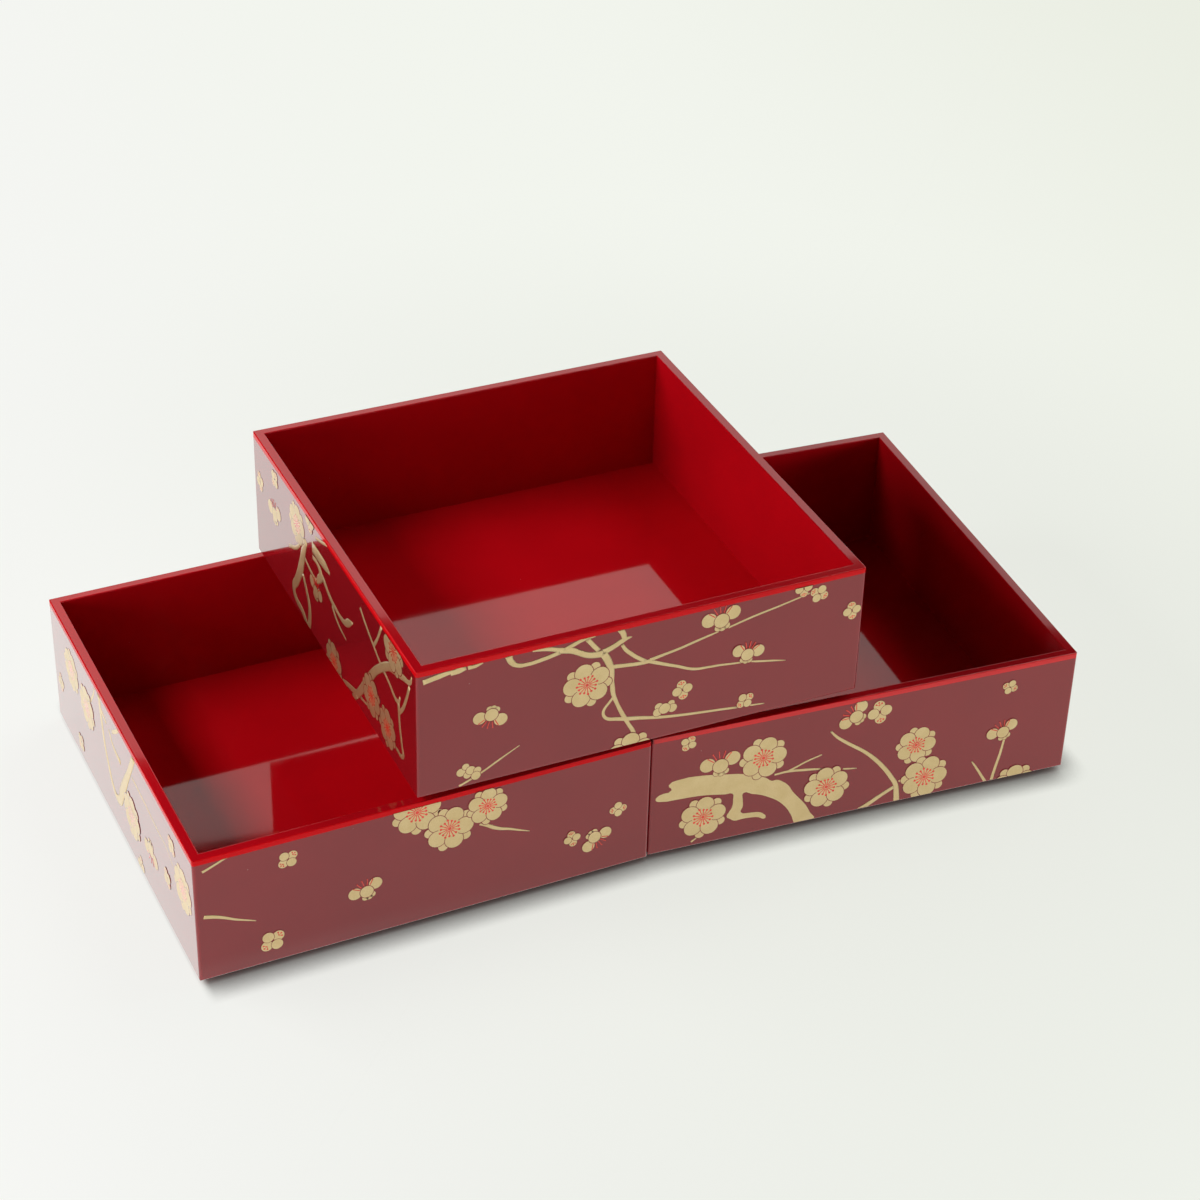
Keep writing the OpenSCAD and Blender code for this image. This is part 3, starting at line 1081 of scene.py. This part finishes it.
# %% Left tier, left side
LEFT_LEFT = {
    "strokes": [
        [(58, 44, 1.6), (65, 53, 1.4), (67, 57, 1)],
        [(73, 58, 4), (74, 50, 3.5), (75, 42, 3), (77, 33, 3), (80, 26, 3.2), (84, 19, 3.6),
         (89, 16, 4), (94, 17.5, 5), (98, 24, 6), (102, 30, 6), (106, 36, 5), (111, 43, 4),
         (115, 49, 4), (121, 58, 4)],
        [(73, 52, 3), (78, 50.4, 2.4), (82, 49, 2)],
        [(85, 48, 2), (90, 43, 2.4), (100, 41, 3)],
        [(90, 50, 1.6), (97, 55, 2), (100, 57.5, 1.6)],
        [(116, 45, 1.5), (125, 44.5, 1.3), (137, 43.5, 1.2), (150, 42, 1), (160, 41.5, 0.8),
         (168, 38, 0.5)],
    ],
    "blossoms": [(30, 42, 10, 60), (52, 37, 10, 95), (112, 22, 10.5, 75), (180, 35, 10.5, 80)],
    "buds": [(137, 23, 3.3, 265)],
    "round_buds": [
        (9, 22, 2, 10), (36, 8, 2, -40), (159, 25, 2, 30), (120, 2.4, 2, 0), (168, 48, 2, 50),
    ],
    "clusters": [],
    "plates": [],
}
print("left left:", {kind: len(items) for kind, items in LEFT_LEFT.items()})

# %% [markdown]
# ## Sides that the picture doesn't show
# A painter of such a set carries the same branches round all four sides. The picture shows
# five sides out of twelve, so the others repeat these five, some of them reversed left to
# right. Neighbours never carry the same branch the same way round.


# %% Which side has which branch
def reversed_side(side):
    """The same branches and flowers, reversed left to right."""

    def flip(items):
        return [(SIDE_W - u, v, size, 180 - turn) for u, v, size, turn in items]

    return {
        "strokes": [[(SIDE_W - u, v, w) for u, v, w in line] for line in side["strokes"]],
        "blossoms": flip(side["blossoms"]),
        "buds": flip(side["buds"]),
        "round_buds": flip(side["round_buds"]),
        "clusters": [[(SIDE_W - u, v, r) for u, v, r in lobes] for lobes in side["clusters"]],
        "plates": [[(SIDE_W - u, v) for u, v in outline] for outline in side["plates"]],
    }


PAINTED = {
    ("left_tier", "front"): LEFT_FRONT,
    ("left_tier", "left"): LEFT_LEFT,
    ("left_tier", "back"): reversed_side(RIGHT_FRONT),
    ("left_tier", "right"): reversed_side(UPPER_FRONT),
    ("right_tier", "front"): RIGHT_FRONT,
    ("right_tier", "left"): reversed_side(LEFT_LEFT),
    ("right_tier", "back"): UPPER_FRONT,
    ("right_tier", "right"): reversed_side(UPPER_LEFT),
    ("upper_tier", "front"): UPPER_FRONT,
    ("upper_tier", "left"): UPPER_LEFT,
    ("upper_tier", "back"): reversed_side(UPPER_LEFT),
    ("upper_tier", "right"): RIGHT_FRONT,
}
print(len(PAINTED), "painted sides")

# %% [markdown]
# ## Painting the sides
# Every side is drawn flat, cut off at the rim's red band and at the board's lower edge, and
# then set on its tier: a quarter turn for each side after the front, then the tier's own turn
# and place. Gold, outlines and stamens are three pieces on each side, and all of them ride on
# the tier that they are painted on.

# %% Painting
PAINT_LOW = 0.5
PAINT_HIGH = BOARD_H - RIM_BAND


def draw(side):
    """The three flat paint meshes of a side, as bmeshes in millimetres."""
    paint = {name: bmesh.new() for name in PAINTS}
    strokes(paint["gold"], side["strokes"])
    for outline in side["plates"]:
        plate(paint["gold"], outline)
    for lobes in side["clusters"]:
        cluster(paint, lobes)
    for maker, items in ((blossom, "blossoms"), (bud, "buds"), (round_bud, "round_buds")):
        for order, (u, v, size, turn) in enumerate(side[items]):
            maker(paint, u, v, size, turn, order)
    return paint


def trim(bm, height, up):
    """Cuts off all paint above or below a height and closes the cut."""
    geometry = bm.verts[:] + bm.edges[:] + bm.faces[:]
    bmesh.ops.bisect_plane(
        bm, geom=geometry, dist=1e-5, plane_co=(0, height, 0), plane_no=(0, up, 0), clear_outer=True
    )
    open_edges = [edge for edge in bm.edges if edge.is_boundary]
    bmesh.ops.holes_fill(bm, edges=open_edges, sides=0)


def face_matrix(tier, side):
    """From a side's flat drawing in millimetres to the frame in metres."""
    out = -SIDE_W / 2
    stand_up = Matrix(((1, 0, 0, out), (0, 0, -1, out), (0, 1, 0, 0), (0, 0, 0, 1)))
    quarter = Matrix.Rotation(math.pi / 2 * SIDES.index(side), 4, "Z")
    turn = Matrix.Rotation(math.radians(TURNS[tier]), 4, "Z")
    return Matrix.Translation(tier_place(tier)) @ turn @ quarter @ Matrix.Scale(MM, 4) @ stand_up


triangles = 0
for (tier, side), drawing in PAINTED.items():
    for name, bm in draw(drawing).items():
        bmesh.ops.remove_doubles(bm, verts=bm.verts, dist=1e-4)
        trim(bm, PAINT_HIGH, 1)
        trim(bm, PAINT_LOW, -1)
        bmesh.ops.recalc_face_normals(bm, faces=bm.faces)
        bmesh.ops.transform(bm, matrix=face_matrix(tier, side), verts=bm.verts)
        mesh = bpy.data.meshes.new(f"{tier}_{side}_{name}")
        bm.to_mesh(mesh)
        bm.free()
        mesh.materials.append(PAINTS[name])
        piece = bpy.data.objects.new(mesh.name, mesh)
        bpy.context.scene.collection.objects.link(piece)
        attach(piece, tier)
        mesh.calc_loop_triangles()
        triangles += len(mesh.loop_triangles)
print("paint pieces:", len(PAINTED) * len(PAINTS), "with", triangles, "triangles")
